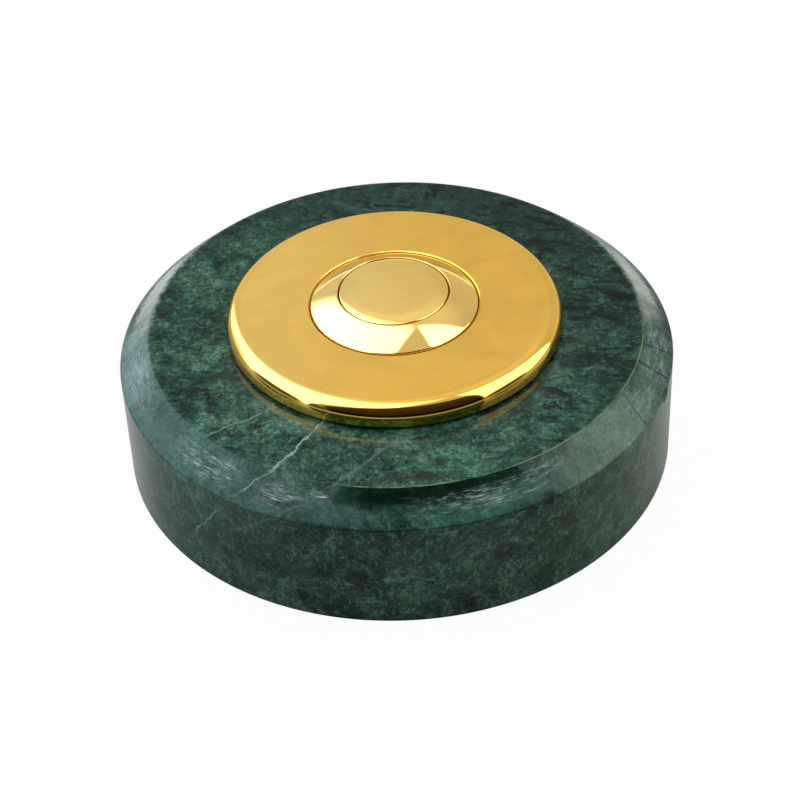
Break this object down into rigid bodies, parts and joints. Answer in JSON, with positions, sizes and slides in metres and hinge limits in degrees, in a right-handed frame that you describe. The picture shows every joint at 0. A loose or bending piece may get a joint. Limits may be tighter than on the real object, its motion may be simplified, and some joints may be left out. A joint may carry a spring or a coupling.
{
  "type": "doorbell button",
  "caption": "Round doorbell push with a sprung brass button in a conical bezel and a gold brass plate, on a chamfered green marble base that is wired and fixed from behind.",
  "frame": {"origin": "centre of the base's flat back, on the wall's face", "axes": "+Z out of the wall along the button's axis, +X along the line of the fixing inserts"},
  "size_m": [0.084, 0.084, 0.0282],
  "materials": {
    "green_marble": "polished dark green marble, clouded and veined",
    "gold_brass": "mirror polished, gold coloured",
    "pale_brass": "mirror polished, pale",
    "plain_brass": "as turned",
    "contact_brass": "rolled strip",
    "spring_steel": "drawn",
    "plated_steel": "zinc plated",
    "black_rubber": "matt",
    "black_moulding": "moulded",
    "ivory_moulding": "moulded",
    "red_fibre": "vulcanised fibre"
  },
  "bodies": {
    "base": {"marble_base": "green_marble", "plate_gasket": "black_rubber", "cover_plate": "gold_brass", "bezel_barrel": "pale_brass", "bezel_seal": "black_rubber", "return_spring": "spring_steel", "terminal_base": "black_moulding", "fixed_contact_right": "contact_brass", "fixed_contact_left": "contact_brass", "terminal_clamps": "plated_steel", "terminal_screws": "plated_steel", "snap_ring": "spring_steel", "cushion_washer": "red_fibre", "clamp_washer": "plated_steel", "lock_nut": "plain_brass", "fixing_inserts": "plain_brass"},
    "button": {"push_button": "pale_brass", "button_seal": "black_rubber", "retaining_clip": "spring_steel", "plunger": "ivory_moulding", "contact_bridge": "contact_brass", "bridge_rivet": "contact_brass"}
  },
  "joints": [
    {"name": "button_press", "type": "slide", "parent": "base", "child": "button", "axis": [0, 0, -1], "range_m": [0, 0.0016], "stiffness_N_per_m": 800, "springref_m": -0.003, "deforming": ["return_spring"]}
  ]
}
